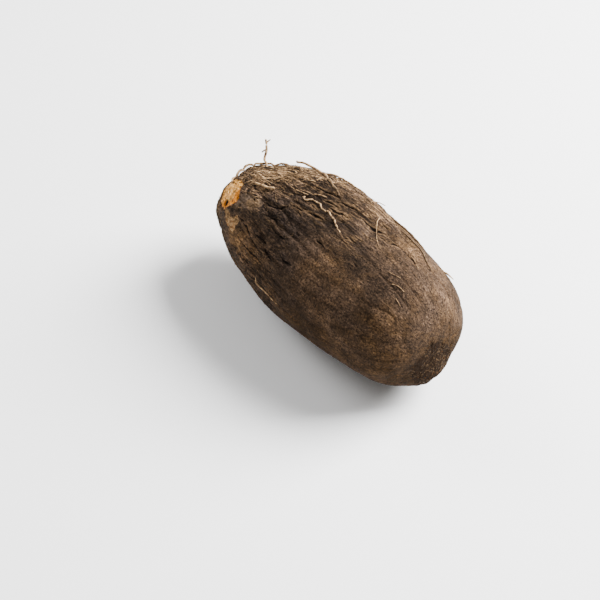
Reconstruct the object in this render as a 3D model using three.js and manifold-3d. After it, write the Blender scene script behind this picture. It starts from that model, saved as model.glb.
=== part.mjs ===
// A whole fresh yam tuber, lying on its side. Millimetres, +Z up.
// The long axis runs along X: the narrow head, with the bare scar where the
// vine broke off, is at -X and the broad foot at +X. The origin is under the
// centre of the bounding box, and the tuber rests on a small flat spot at z=0.
import * as THREE from 'three';
import Module from 'manifold-3d';

// Size and outline. The body is worked out round its own widest place.
const HEAD_LENGTH = 107.2;      // from the widest place towards the head
const FOOT_LENGTH = 118.8;      // from the widest place to the foot
const GIRTH_RADIUS = 50.0;
const HEAD_FULLNESS = [2.3, 1.6];        // exponents of the taper, narrow end
const FOOT_FULLNESS = [4.0, 2.7];        // exponents of the taper, blunt end
const BEND = { size: 2.15, at: 100, y: -0.833, z: -0.554 };   // lean of both ends

// Broad unevenness: share of the radius, waves round, phase, twist along.
const LUMPS = [
  [0.020, 2, 1.784, 0.9],
  [0.014, 3, -0.779, -1.7],
  [0.010, 5, 3.16, 2.3],
];
const WAIST = { share: 0.024, waves: 5.2, phase: 1.2, turn: 0.8 };

// Faces pressed into the head, and the low nub under the foot
const SCAR = { point: [-77.2, -26.3, 21.6], normal: [-0.48, -0.62, 0.62], softness: 3 };
const TIP = { point: [-101.2, 0, 0], normal: [-0.95, -0.15, 0.28], softness: 8 };
const NUB = { point: [117.3, -2, -24], normal: [0.8, -0.1, -0.55], height: 2.4, width: 12 };

// Height of the flat spot it rests on, against the long axis
const REST_CUT = -48.7;

// Bark relief. Cells are the size of one bump of the noise along x, y and z.
const SWELL = { height: 1.3, cells: [40, 29, 29], seed: 29 };     // lumps a thumb wide
const WRINKLE = { height: 1.0, cells: [44, 13, 13], seed: 5 };    // long folds
const FURROW = { depth: 1.6, cells: [30, 9, 9], seed: 11, width: 0.30 };
const FOOT_SMOOTHNESS = { share: 0.42, from: 48, to: -36 };       // relief left on the foot
const SCAR_RELIEF = { radius: 16, inner: 0.7, outer: 1.1, calm: 0.8 };

// Grid of the skin
const RINGS = 34;
const MOST_ROUND = 134;
const FEWEST_ROUND = 14;
const POINT_SPACING = 2.3;

// Rootlets: place along, degrees round, lift off the skin, radius, depth of the keel
const ROOTLETS = [
  // A wiry one that arches clear of the skin near the head
  [[-83, 124, -0.6, 0.7, 1.8], [-88, 116, 1.0, 0.85, 1.2], [-88, 106, 2.6, 0.9, 0.9],
    [-88, 97, 3.4, 0.9, 0.9], [-87, 88, 3.8, 0.85, 0.85], [-86, 76, 3.0, 0.8, 0.8],
    [-80, 68, 2.4, 0.8, 0.8], [-73, 64, 1.0, 0.75, 1.6], [-62, 68, -0.1, 0.5, 1.8]],
  // The thickest one, from over the top down onto the near shoulder
  [[-64, 56, 4.0, 0.7, 0.7], [-61, 55, 3.4, 0.95, 0.95], [-53, 52, 2.0, 1.25, 2.4],
    [-46, 51, 0.9, 1.3, 2.8], [-38, 54, 0.5, 1.2, 2.8], [-29, 60, 0.4, 1.1, 2.6],
    [-17, 67, 0.4, 0.95, 2.4], [-8, 71, 0.2, 0.8, 2.2], [0, 75, -0.2, 0.5, 2.0]],
  // Its thinner branch along the top
  [[-40, 52, 0.0, 0.6, 2.2], [-31, 47, 0.8, 0.75, 2.4], [-26, 46, 1.2, 0.7, 2.4],
    [-18, 44, 0.7, 0.65, 2.4], [-7, 42, 0.4, 0.55, 2.2], [0, 44, -0.1, 0.45, 2.0]],
  // A kinked one along the upper side
  [[-18, 96, -0.2, 0.5, 2.0], [-15, 98, 0.3, 0.75, 2.4], [-10, 99, 0.4, 0.85, 2.4],
    [-7, 95, 0.5, 0.85, 2.4], [0, 95, 0.4, 0.85, 2.4], [6, 96, 0.4, 0.8, 2.4],
    [12, 96, 0.4, 0.8, 2.4], [19, 98, 0.3, 0.7, 2.4], [30, 103, -0.1, 0.5, 2.0]],
  // One low on the side
  [[-12, 180, -0.2, 0.5, 2.0], [-9, 183, 0.3, 0.75, 2.4], [2, 182, 0.4, 0.75, 2.4],
    [11, 183, 0.3, 0.7, 2.4], [15, 184, -0.1, 0.5, 2.0]],
  // A short broken one near the head
  [[-61, 112, -0.3, 0.5, 2.0], [-55, 111, 0.3, 0.8, 2.4], [-48, 109, 0.5, 0.85, 2.4],
    [-40, 107, 1.4, 0.95, 2.6]],
];
const ROOTLET_SIDES = 5;
const CURVE_PARTS = 2;          // steps from one row of a rootlet to the next

// More of them, spread round the far side by rule. Pairs are least and spread.
const STRAYS = {
  count: 11, seed: 91, along: [-62, 130], round: [-26, 84], radius: [0.6, 0.35],
  steps: [3, 3], step: [7, 5], wander: 11, lift: 0.35, endLift: -0.3, keel: 2.4, endKeel: 1.8,
};

const SKIN_COLOUR = 0x5c4736;

// Helpers for numbers and vectors
const clamp = (v, low, high) => Math.min(high, Math.max(low, v));
const smooth = (from, to, v) => {
  const s = clamp((v - from) / (to - from), 0, 1);
  return s * s * (3 - 2 * s);
};
const add = (a, b, k = 1) => [a[0] + b[0] * k, a[1] + b[1] * k, a[2] + b[2] * k];
const sub = (a, b) => add(a, b, -1);
const dot = (a, b) => a[0] * b[0] + a[1] * b[1] + a[2] * b[2];
const cross = (a, b) => [
  a[1] * b[2] - a[2] * b[1],
  a[2] * b[0] - a[0] * b[2],
  a[0] * b[1] - a[1] * b[0],
];
const unit = (a) => {
  const length = Math.hypot(...a) || 1;
  return [a[0] / length, a[1] / length, a[2] / length];
};

// A fixed number from 0 to 1 for every cell of a lattice. The factors are large
// odd numbers that spread the cells evenly, and the shifts mix their bits.
const FACTORS = [374761393, 668265263, 2147483647, 1274126177];
const MIXERS = [[13, 1274126177], [16, 2246822519]];
function cellNumber(i, j, k, seed) {
  let h = [i, j, k, seed].reduce((sum, v, n) => sum + Math.imul(v, FACTORS[n]), 0) >>> 0;
  for (const [shift, factor] of MIXERS) h = Math.imul(h ^ (h >>> shift), factor) >>> 0;
  return ((h ^ (h >>> 13)) >>> 0) / 2 ** 32;
}

// Smooth noise from -1 to 1: the numbers of the eight corners round a point,
// blended by the quintic ease 6f^5 - 15f^4 + 10f^3 of the place in the cell.
const CORNERS = [0, 1, 2, 3, 4, 5, 6, 7].map((n) => [n >> 2, (n >> 1) & 1, n & 1]);
function noise(p, { cells, seed }) {
  const place = p.map((v, n) => v / cells[n]);
  const low = place.map(Math.floor);
  const ease = place.map((v, n) => {
    const f = v - low[n];
    return f ** 3 * (f * (6 * f - 15) + 10);
  });
  let sum = 0;
  for (const corner of CORNERS) {
    const share = corner.reduce((s, up, n) => s * (up ? ease[n] : 1 - ease[n]), 1);
    sum += share * cellNumber(...corner.map((up, n) => low[n] + up), seed);
  }
  return 2 * sum - 1;
}

// The smooth body
// Place along the axis and radius. c runs from -1 at the head to 1 at the foot.
function profile(t) {
  const c = -Math.cos(t);
  const [p, q] = c < 0 ? HEAD_FULLNESS : FOOT_FULLNESS;
  const taper = Math.max(1 - Math.abs(c) ** p, 1e-12) ** (1 / q);
  return [c * (c < 0 ? HEAD_LENGTH : FOOT_LENGTH), GIRTH_RADIUS * taper];
}

// Skin that stands above a plane is pressed down to it, with a soft edge.
function press(p, { point, normal, softness }) {
  const n = unit(normal);
  const height = dot(sub(p, point), n);
  if (height < -softness) return p;
  return add(p, n, -softness * Math.exp(-(height + softness) / softness) - height);
}

// A point of the body: t from head to foot, a the angle round, from +Y to +Z.
function body(t, a) {
  const [x, taper] = profile(t);
  const u = x / BEND.at;
  let share = 1 + WAIST.share * Math.sin(WAIST.waves * u + WAIST.phase + Math.cos(a + WAIST.turn));
  for (const [size, waves, phase, twist] of LUMPS) {
    share += size * Math.sin(waves * a + phase + twist * u);
  }
  const r = taper * share;
  const lean = BEND.size * u * u;
  let p = [x, r * Math.cos(a) + lean * BEND.y, r * Math.sin(a) + lean * BEND.z];
  p = press(press(p, SCAR), TIP);
  const near = Math.hypot(...sub(p, NUB.point)) / NUB.width;
  return add(p, unit(NUB.normal), NUB.height * Math.exp(-near * near));
}

// Outward direction: the cross product of a small step round and one along.
const STEP = 0.004;
const POLE = 0.03;              // nearest to a pole that a direction is taken
const AXIS_SHARE = 0.9;         // where on the axis a direction is judged from
function outward(t, a) {
  const s = clamp(t, POLE, Math.PI - POLE);
  const round = sub(body(s, a + STEP), body(s, a - STEP));
  const n = unit(cross(round, sub(body(s + STEP, a), body(s - STEP, a))));
  const fromAxis = sub(body(s, a), [profile(s)[0] * AXIS_SHARE, 0, 0]);
  return dot(n, fromAxis) < 0 ? sub([0, 0, 0], n) : n;
}

// Height of the bark over the smooth body at a point
function bark(p) {
  const { share, from, to } = FOOT_SMOOTHNESS;
  const rough = share + (1 - share) * smooth(from, to, p[0]);
  const reach = Math.hypot(...sub(p, SCAR.point)) / SCAR_RELIEF.radius;
  const bare = 1 - smooth(SCAR_RELIEF.inner, SCAR_RELIEF.outer, reach);
  const split = Math.max(0, 1 - Math.abs(noise(p, FURROW)) / FURROW.width);
  const folds = WRINKLE.height * noise(p, WRINKLE) - FURROW.depth * split;
  return SWELL.height * noise(p, SWELL) + (1 - SCAR_RELIEF.calm * bare) * rough * folds;
}

function skin(t, a) {
  const p = body(t, a);
  return add(p, outward(t, a), bark(p));
}

// Values of t for so many rings, an equal length of profile apart
const PROFILE_STEPS = 2000;
function ringParameters(count) {
  const length = [0];
  let last = profile(0);
  for (let i = 1; i <= PROFILE_STEPS; i++) {
    const now = profile(Math.PI * i / PROFILE_STEPS);
    length.push(length[i - 1] + Math.hypot(now[0] - last[0], now[1] - last[1]));
    last = now;
  }
  const found = [];
  let i = 0;
  for (let ring = 1; ring <= count; ring++) {
    const want = length[PROFILE_STEPS] * ring / (count + 1);
    while (length[i + 1] < want) i++;
    const part = (want - length[i]) / (length[i + 1] - length[i]);
    found.push(Math.PI * (i + part) / PROFILE_STEPS);
  }
  return found;
}

// Triangles between two rings that may have different counts: at each step the
// ring that lags behind moves on by one point.
function joinRings(a, b) {
  const triangles = [];
  let i = 0;
  let j = 0;
  while (i < a.count || j < b.count) {
    const fromA = a.start + i % a.count;
    const fromB = b.start + j % b.count;
    const stepA = j >= b.count || (i < a.count && (i + 1) / a.count <= (j + 1) / b.count);
    if (stepA) i++;
    else j++;
    triangles.push([fromA, fromB, stepA ? a.start + i % a.count : b.start + j % b.count]);
  }
  return triangles;
}

// The skin: rings of points, fewer of them where the body narrows, and two tips
function tuberSkin() {
  const points = [];
  const triangles = [];
  const tip = (t, way) => {
    const p = body(t, 0);
    return points.push(add(p, way, bark(p))) - 1;
  };
  const head = tip(0, [-1, 0, 0]);
  const rings = ringParameters(RINGS).map((t) => {
    const wanted = 2 * Math.round(Math.PI * profile(t)[1] / POINT_SPACING);
    const count = clamp(wanted, FEWEST_ROUND, MOST_ROUND);
    const start = points.length;
    for (let i = 0; i < count; i++) points.push(skin(t, 2 * Math.PI * i / count));
    return { start, count };
  });
  const foot = tip(Math.PI, [1, 0, 0]);
  const first = rings[0];
  const last = rings[rings.length - 1];
  for (let i = 0; i < first.count; i++) {
    triangles.push([head, first.start + i, first.start + (i + 1) % first.count]);
  }
  for (let i = 0; i < last.count; i++) {
    triangles.push([foot, last.start + (i + 1) % last.count, last.start + i]);
  }
  for (let r = 0; r + 1 < rings.length; r++) triangles.push(...joinRings(rings[r], rings[r + 1]));
  return { points, triangles };
}

// The value of t that belongs to a distance from the widest place
const LAST_SHARE = 0.999;
function along(x) {
  const share = x / (x < 0 ? HEAD_LENGTH : FOOT_LENGTH);
  return Math.acos(-clamp(share, -LAST_SHARE, LAST_SHARE));
}

// A smooth line through rows: each new row is the cubic blend of the four round it.
function curve(rows) {
  const row = (i) => rows[clamp(i, 0, rows.length - 1)];
  const line = [];
  for (let i = 0; i + 1 < rows.length; i++) {
    for (let part = 0; part < CURVE_PARTS; part++) {
      const f = part / CURVE_PARTS;
      const weights = [
        -f + 2 * f ** 2 - f ** 3,
        2 - 5 * f ** 2 + 3 * f ** 3,
        f + 4 * f ** 2 - 3 * f ** 3,
        -(f ** 2) + f ** 3,
      ];
      const blend = (column) => weights.reduce((s, w, k) => s + w / 2 * row(i - 1 + k)[column], 0);
      line.push(row(i).map((_, column) => blend(column)));
    }
  }
  line.push(row(rows.length - 1));
  return line;
}

// A tube along the rows. Its underside is drawn down into the tuber as a keel.
const KEEL_BELOW = -0.5;        // sine of the angle under which a corner is keel
function rootlet(rows) {
  const line = curve(rows).map(([x, degrees, lift, radius, keel]) => {
    const t = along(x);
    const a = degrees * Math.PI / 180;
    const p = body(t, a);
    const n = outward(t, a);
    return { p: add(p, n, bark(p) + lift), n, radius, keel };
  });
  const last = line.length - 1;
  const points = line.flatMap(({ p, n, radius, keel }, k) => {
    const way = unit(sub(line[Math.min(last, k + 1)].p, line[Math.max(0, k - 1)].p));
    const up = unit(add(n, way, -dot(n, way)));
    const side = cross(way, up);
    return Array.from({ length: ROOTLET_SIDES }, (_, i) => {
      const a = Math.PI / 2 + 2 * Math.PI * i / ROOTLET_SIDES;
      const height = Math.sin(a) < KEEL_BELOW ? -keel : Math.sin(a) * radius;
      return add(add(p, side, Math.cos(a) * radius), up, height);
    });
  });
  const startTip = points.push(line[0].p) - 1;
  const endTip = points.push(line[last].p) - 1;
  const triangles = [];
  for (let i = 0; i < ROOTLET_SIDES; i++) {
    const next = (i + 1) % ROOTLET_SIDES;
    for (let k = 0; k < last; k++) {
      const a = k * ROOTLET_SIDES + i;
      const b = k * ROOTLET_SIDES + next;
      triangles.push([a, b, a + ROOTLET_SIDES], [b, b + ROOTLET_SIDES, a + ROOTLET_SIDES]);
    }
    triangles.push([startTip, next, i]);
    triangles.push([endTip, last * ROOTLET_SIDES + i, last * ROOTLET_SIDES + next]);
  }
  return { points, triangles };
}

// Rows for a rootlet on the far side: it starts at a place from the seeded rule
// and wanders along the length, lying on the skin.
function strayRootlet(k) {
  const pick = (n) => cellNumber(k, n, 0, STRAYS.seed);
  const at = ([least, spread], n) => least + spread * pick(n);
  const towards = pick(0) < 0.5 ? -1 : 1;
  const radius = at(STRAYS.radius, 3);
  const steps = Math.floor(at(STRAYS.steps, 4));
  let x = at(STRAYS.along, 1);
  let degrees = STRAYS.round[0] + STRAYS.round[1] * (k + 0.8 * pick(2)) / STRAYS.count;
  return Array.from({ length: steps + 1 }, (_, s) => {
    const end = s === 0 || s === steps;
    const taper = end ? 0.6 : 1 - 0.35 * s / steps;
    const lift = end ? STRAYS.endLift : STRAYS.lift;
    const row = [x, degrees, lift, radius * taper, end ? STRAYS.endKeel : STRAYS.keel];
    x += towards * (STRAYS.step[0] + STRAYS.step[1] * cellNumber(k, s, 1, STRAYS.seed));
    degrees += STRAYS.wander * (cellNumber(k, s, 2, STRAYS.seed) - 0.5);
    return row;
  });
}

const wasm = await Module();
wasm.setup();

// A solid from points and triangles, turned inside out if they face inwards
function solid({ points, triangles }) {
  const mesh = new wasm.Mesh({
    numProp: 3,
    vertProperties: new Float32Array(points.flat()),
    triVerts: new Uint32Array(triangles.flat()),
  });
  mesh.merge();
  const made = new wasm.Manifold(mesh);
  if (made.volume() >= 0) return made;
  return solid({ points, triangles: triangles.map(([a, b, c]) => [a, c, b]) });
}

// One grown piece: skin and rootlets joined, cut flat underneath, moved to its origin
function tuberSolid() {
  const strays = Array.from({ length: STRAYS.count }, (_, k) => strayRootlet(k));
  let tuber = solid(tuberSkin());
  for (const rows of [...ROOTLETS, ...strays]) tuber = tuber.add(solid(rootlet(rows)));
  tuber = tuber.trimByPlane([0, 0, 1], REST_CUT);
  const { min, max } = tuber.boundingBox();
  return tuber.translate([-(min[0] + max[0]) / 2, -(min[1] + max[1]) / 2, -REST_CUT]);
}

function tuberMesh() {
  const { vertProperties, triVerts } = tuberSolid().getMesh();
  const geometry = new THREE.BufferGeometry();
  geometry.setAttribute('position', new THREE.BufferAttribute(new Float32Array(vertProperties), 3));
  geometry.setIndex(new THREE.BufferAttribute(new Uint32Array(triVerts), 1));
  geometry.computeVertexNormals();
  const bark = new THREE.MeshStandardMaterial({ color: SKIN_COLOUR, roughness: 0.92, metalness: 0 });
  const mesh = new THREE.Mesh(geometry, bark);
  mesh.name = 'tuber';
  return mesh;
}

const yam = new THREE.Group();
yam.name = 'yam';
yam.add(tuberMesh());

export default yam;
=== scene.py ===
# %% [markdown]
# # A whole yam, from a formula
# A yam is a swollen underground stem. Its head was joined to the vine and keeps a
# bare scar where it broke off. Its foot is broad and blunt. Between them runs a
# dry bark that splits lengthwise as the tuber swells.
#
# The solid model fixes the size and the main form. This script works out the
# same form on a finer grid, adds splits, fibres and rootlets, and colours all.

# %% Load the solid model
import math

import bpy
import numpy as np
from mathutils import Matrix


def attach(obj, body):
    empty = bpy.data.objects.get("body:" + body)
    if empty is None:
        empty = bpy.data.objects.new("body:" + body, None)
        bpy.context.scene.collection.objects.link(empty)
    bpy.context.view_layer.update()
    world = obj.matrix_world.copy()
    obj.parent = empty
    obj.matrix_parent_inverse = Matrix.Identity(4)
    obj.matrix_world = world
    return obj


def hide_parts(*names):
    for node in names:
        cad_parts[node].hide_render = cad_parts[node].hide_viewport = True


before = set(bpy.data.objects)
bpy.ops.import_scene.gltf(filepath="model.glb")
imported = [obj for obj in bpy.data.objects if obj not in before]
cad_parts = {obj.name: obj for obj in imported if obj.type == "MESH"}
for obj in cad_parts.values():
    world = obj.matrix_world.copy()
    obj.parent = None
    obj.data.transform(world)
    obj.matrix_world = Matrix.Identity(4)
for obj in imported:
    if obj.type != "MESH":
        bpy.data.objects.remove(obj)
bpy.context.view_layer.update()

# %% [markdown]
# ## Numbers shared with the solid model
# All is in millimetres until it goes into a mesh. The body's long axis is X, with
# the origin at its widest place. The solid model was then moved to stand centred
# on the floor, and the same move is made here.

# %% Sizes of the body
HEAD_LENGTH, FOOT_LENGTH, GIRTH_RADIUS = 107.2, 118.8, 50
HEAD_FULLNESS, FOOT_FULLNESS = (2.3, 1.6), (4, 2.7)
BEND, BEND_Y, BEND_Z = 2.15, -0.833, -0.554
LUMPS = [(0.02, 2, 1.784, 0.9), (0.014, 3, -0.779, -1.7), (0.01, 5, 3.16, 2.3)]
WAIST = (0.024, 5.2, 1.2, 0.8)
SCAR_POINT, SCAR_NORMAL, SCAR_SOFTNESS = (-77.2, -26.3, 21.6), (-0.48, -0.62, 0.62), 3
TIP_POINT, TIP_NORMAL, TIP_SOFTNESS = (-101.2, 0, 0), (-0.95, -0.15, 0.28), 8
NUB_POINT, NUB_NORMAL, NUB_HEIGHT, NUB_WIDTH = (117.3, -2, -24), (0.8, -0.1, -0.55), 2.4, 12
REST_CUT = -48.7
MOVE = np.array([-9.2027, 1.2287, -REST_CUT])


def unit(v):
    """Vectors scaled to length one."""
    v = np.asarray(v, float)
    return v / np.maximum(np.linalg.norm(v, axis=-1, keepdims=True), 1e-12)


def length_of(v):
    """Lengths of vectors."""
    return np.linalg.norm(v, axis=-1)


def smooth(low, high, v):
    """A soft step from 0 at low to 1 at high: 3 s^2 - 2 s^3, with s the clamped share of the way."""
    s = np.clip((v - low) / (high - low), 0, 1)
    return s * s * (3 - 2 * s)


# %% [markdown]
# ## Noise that is the same everywhere
# Unevenness needs numbers that look random but are the same on every run, and the
# same as in the solid model. A hash turns each cell of a lattice into one, and
# the noise blends the eight corners round a point. A stretched lattice gives
# streaks instead of spots.

# %% Lattice noise
FACTORS = (374761393, 668265263, 2147483647, 1274126177)
LOW_BITS = np.uint64(0xFFFFFFFF)


def whole(v):
    """Whole numbers kept to their lowest 32 bits."""
    return np.asarray(v, np.int64).astype(np.uint64) & LOW_BITS


def cell(i, j, k, seed):
    """A number from 0 to 1 for a lattice cell: indices times large numbers, mixed by shifts and products."""
    h = np.uint64(0)
    for v, factor in zip((i, j, k, seed), FACTORS):
        h = h + whole(v) * np.uint64(factor)
    h = h & LOW_BITS
    for shift, factor in ((13, 1274126177), (16, 2246822519)):
        h = ((h ^ (h >> np.uint64(shift))) * np.uint64(factor)) & LOW_BITS
    return (h ^ (h >> np.uint64(13))).astype(float) / 2**32


def noise(p, sizes, seed):
    """Smooth noise from -1 to 1 at points p, whose lattice cells have one or three sizes. Corner numbers are
    blended by the ease 6 f^5 - 15 f^4 + 10 f^3 of the place in the cell."""
    q = np.asarray(p, float) / np.asarray(sizes, float)
    low = np.floor(q)
    f = q - low
    ease = f**3 * (f * (6 * f - 15) + 10)
    total = 0
    for corner in np.ndindex(2, 2, 2):
        share = np.prod([ease[..., n] if up else 1 - ease[..., n] for n, up in enumerate(corner)], axis=0)
        total = total + share * cell(*(low[..., n] + up for n, up in enumerate(corner)), seed)
    return 2 * total - 1


print("noise at a test point:", round(float(noise([[12.5, 3.25, 7.75]], (1, 1, 1), 3)[0]), 6))


# %% [markdown]
# ## The smooth body
# A tuber could be sculpted. A formula is better here, because it gives any point
# at any fineness: a profile of radius against length, made uneven by a few sine
# waves, bent a little, and pressed in at the scar and at the tip of the head.

# %% Body formula
def profile(t):
    """Place along, c = -cos t times the half length, and radius, (1 - |c|^p)^(1/q) times the largest."""
    c = -np.cos(t)
    head = c < 0
    p, q = (np.where(head, HEAD_FULLNESS[n], FOOT_FULLNESS[n]) for n in (0, 1))
    taper = np.maximum(1 - np.abs(c) ** p, 1e-12) ** (1 / q)
    return c * np.where(head, HEAD_LENGTH, FOOT_LENGTH), GIRTH_RADIUS * taper


def press(p, point, normal, softness):
    """Skin that stands above a plane comes down to it: height h becomes -s exp(-(h + s) / s)."""
    n = unit(normal)
    h = (p - point) @ n
    pressed = -softness * np.exp(-np.maximum(h + softness, 0) / softness)
    return p + n * np.where(h < -softness, 0, pressed - h)[..., None]


def body(t, a):
    """Points of the smooth body: the profile turned by angle a, times 1 plus the sines of the lumps, bent by
    the square of the length, pressed at two planes, and raised at the nub by a bell curve."""
    x, r = profile(t)
    u = x / 100
    swell = 1 + WAIST[0] * np.sin(WAIST[1] * u + WAIST[2] + np.cos(a + WAIST[3]))
    for size, waves, phase, twist in LUMPS:
        swell = swell + size * np.sin(waves * a + phase + twist * u)
    r, lean = r * swell, BEND * u * u
    p = np.stack([x + 0 * a, r * np.cos(a) + lean * BEND_Y, r * np.sin(a) + lean * BEND_Z], -1)
    p = press(p, SCAR_POINT, SCAR_NORMAL, SCAR_SOFTNESS)
    p = press(p, TIP_POINT, TIP_NORMAL, TIP_SOFTNESS)
    near = length_of(p - NUB_POINT) / NUB_WIDTH
    return p + unit(NUB_NORMAL) * (NUB_HEIGHT * np.exp(-near * near))[..., None]


def outward(t, a):
    """Outward directions: the cross product of small steps round and along, turned away from the axis."""
    step, s = 0.004, np.clip(t, 0.03, math.pi - 0.03)
    n = unit(np.cross(body(s, a + step) - body(s, a - step), body(s + step, a) - body(s - step, a)))
    p = body(s, a)
    axis = np.stack([profile(s)[0] * 0.9 + 0 * a, 0 * p[..., 1], 0 * p[..., 1]], -1)
    return n * np.where(((p - axis) * n).sum(-1) < 0, -1, 1)[..., None]


def along(x):
    """The profile's t for a place along the axis: the arc cosine of minus its share of the half length."""
    x = np.asarray(x, float)
    return np.arccos(-np.clip(x / np.where(x < 0, HEAD_LENGTH, FOOT_LENGTH), -0.999, 0.999))


def places(rows):
    """Points of the smooth body for rows of place along and degrees round."""
    x, degrees = np.asarray(rows, float).T
    return body(along(x), np.radians(degrees))


# %% [markdown]
# ## Bark relief
# Swellings, folds and wide furrows are in the solid model too, finer relief only
# here. Long cracks were measured, each as a few places on the skin. Slits come
# from a rule: each cell of the unrolled bark holds one, shaped like a grain of
# rice, turned and moved a little.

# %% Coarse relief
LINE_T = np.linspace(0, math.pi, 4001)
LINE_X, LINE_R = profile(LINE_T)
LINE_STEP = np.hypot(np.diff(LINE_X), np.diff(LINE_R))
LINE_LENGTH = np.concatenate([[0], np.cumsum(LINE_STEP)])
LINE_LENGTH -= np.interp(math.pi / 2, LINE_T, LINE_LENGTH)
SCAR_REACH = 16
FAR = 99.0


def unroll(t, a):
    """Where a point is on the bark unrolled onto a cylinder: length along the skin, and a circle."""
    s = np.interp(t, LINE_T, LINE_LENGTH)
    return np.stack([s + 0 * a, GIRTH_RADIUS * np.cos(a) + 0 * s, GIRTH_RADIUS * np.sin(a) + 0 * s], -1)


def coarse_bark(p):
    """Height of swellings, folds and wide furrows, the same sum as in the solid model."""
    rough = 0.42 + 0.58 * smooth(48, -36, p[..., 0])
    bare = 1 - smooth(0.7, 1.1, length_of(p - SCAR_POINT) / SCAR_REACH)
    split = np.maximum(0, 1 - np.abs(noise(p, (30, 9, 9), 11)) / 0.3)
    folds = 1 * noise(p, (44, 13, 13), 5) - 1.6 * split
    return 1.3 * noise(p, (40, 29, 29), 29) + (1 - 0.8 * bare) * rough * folds, split


# %% Slits, scales and measured cracks
def wandered(q, size, reach, seed):
    """Places moved by up to reach, by noise of one size, so that straight marks come out crooked."""
    return q + reach * np.stack([noise(q, size, seed + n) for n in range(3)], -1)


def slits(q, long, around, half_width, seed):
    """Depth 0 to 1 and raised lips of one slit for each cell of the unrolled bark. With half length L and
    half width b, the depth at u along and v across is 1 - |v| / (b (1 - (u/L)^2))."""
    cell_width = 2 * math.pi * GIRTH_RADIUS / around
    s, w = q[..., 0] / long, np.arctan2(q[..., 2], q[..., 1]) / (2 * math.pi) * around
    depth, lip = np.zeros(q.shape[:-1]), np.zeros(q.shape[:-1])
    for near_s, near_w in np.ndindex(3, 3):
        i, j = np.floor(s) + near_s - 1, np.floor(w) + near_w - 1
        pick = [cell(i, np.mod(j, around), m, seed) for m in range(7)]
        ds, dw = (s - i - 0.2 - 0.6 * pick[0]) * long, (w - j - 0.2 - 0.6 * pick[1]) * cell_width
        tilt, half = 0.55 * (pick[2] - 0.5), long * (0.28 + 0.38 * pick[3])
        u = ds * np.cos(tilt) + dw * np.sin(tilt)
        v = dw * np.cos(tilt) - ds * np.sin(tilt) + cell_width * 0.5 * (pick[5] - 0.5) * (u / half) ** 2
        open_part = np.maximum(1 - (u / half) ** 2, 1e-3)
        width = half_width * (0.45 + 0.9 * pick[4]) * open_part
        size = 0.35 + 0.65 * pick[6]
        depth = np.maximum(depth, size * np.maximum(0, 1 - np.abs(v) / width))
        beside = np.exp(-((np.abs(v) - 1.7 * width) / (0.8 * width)) ** 2)
        lip = np.maximum(lip, size * beside * open_part)
    return depth, lip


CRACKS = [
    # Half width, then place along and degrees round, pair by pair
    (0.95, -38, 122, -31, 121, -23, 120, -15, 113), (0.8, -30, 130, -21, 129, -14, 126),
    (0.6, -10, 113, -6, 112, -1, 113), (0.65, -6, 109, 3, 106, 10, 104, 14, 103),
    (1.1, -20, 82, -13, 80, -7, 78, -3, 77, 2, 76), (1, 2, 81, 8, 79, 13, 77, 18, 75),
    (1, -4, 88, 1, 86, 7, 85, 13, 85), (1, 6, 91, 13, 91, 18, 88, 24, 87), (0.6, -6, 99, 3, 101),
    (0.5, -35, 108, -28, 107, -23, 105), (0.6, -50, 114, -43, 111, -37, 107),
    (0.8, -18, 111, -10, 109, -3, 109), (0.8, -15, 133, -8, 136, -1, 135, 5, 134),
    (0.7, -27, 147, -18, 147, -11, 148), (0.8, -55, 145, -44, 147, -34, 149, -23, 155, -15, 156, -7, 156),
    (0.8, -39, 160, -26, 163, -14, 164, -8, 166), (0.7, -12, 152, -3, 154, 2, 156),
    (0.8, 2, 144, 10, 148, 16, 148, 19, 146), (0.5, 4, 125, 10, 125), (0.7, 22, 119, 28, 120, 33, 120),
    (0.7, 54, 114, 60, 115), (0.5, 51, 108, 57, 106), (0.6, -51, 90, -46, 89, -43, 85),
    (0.6, -55, 84, -51, 81, -49, 77), (1.1, 28, 79, 34, 79, 42, 78, 47, 75, 52, 73),
    (1.1, 57, 78, 59, 75, 62, 73), (0.6, 25, 70, 32, 71), (0.5, 28, 66, 32, 65),
    (0.8, 37, 68, 43, 68, 46, 68), (0.7, 47, 80, 51, 80, 56, 79), (0.6, 38, 58, 43, 55),
    (0.4, 63, 91, 67, 90, 74, 90), (0.4, 83, 105, 88, 104, 94, 101), (0.5, 69, 70, 76, 70, 81, 72),
    (0.4, 35, 104, 39, 102), (0.5, -34, 48, -17, 58, -5, 60), (0.5, -39, 78, -30, 77, -19, 79),
]


def beside_line(p, line):
    """Distance from a bent line, the share of its length behind the nearest place, and the side of the line,
    1 or -1: the sign of the way from the line, crossed with the line, along the outward direction."""
    piece = np.diff(line, axis=0)
    size = length_of(piece)
    run = np.concatenate([[0], np.cumsum(size)])
    nearest, share, side = (np.full(p.shape[:-1], v) for v in (FAR, 0.0, 1.0))
    for k in range(len(size)):
        s = np.clip((p - line[k]) @ piece[k] / size[k] ** 2, 0, 1)
        way = p - line[k] - s[..., None] * piece[k]
        d = length_of(way)
        share = np.where(d < nearest, (run[k] + s * size[k]) / run[-1], share)
        turned = (np.cross(way, piece[k]) * p * (0, 1, 1)).sum(-1)
        side = np.where(d < nearest, np.where(turned < 0, -1.0, 1.0), side)
        nearest = np.minimum(d, nearest)
    return nearest, share, side


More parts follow.
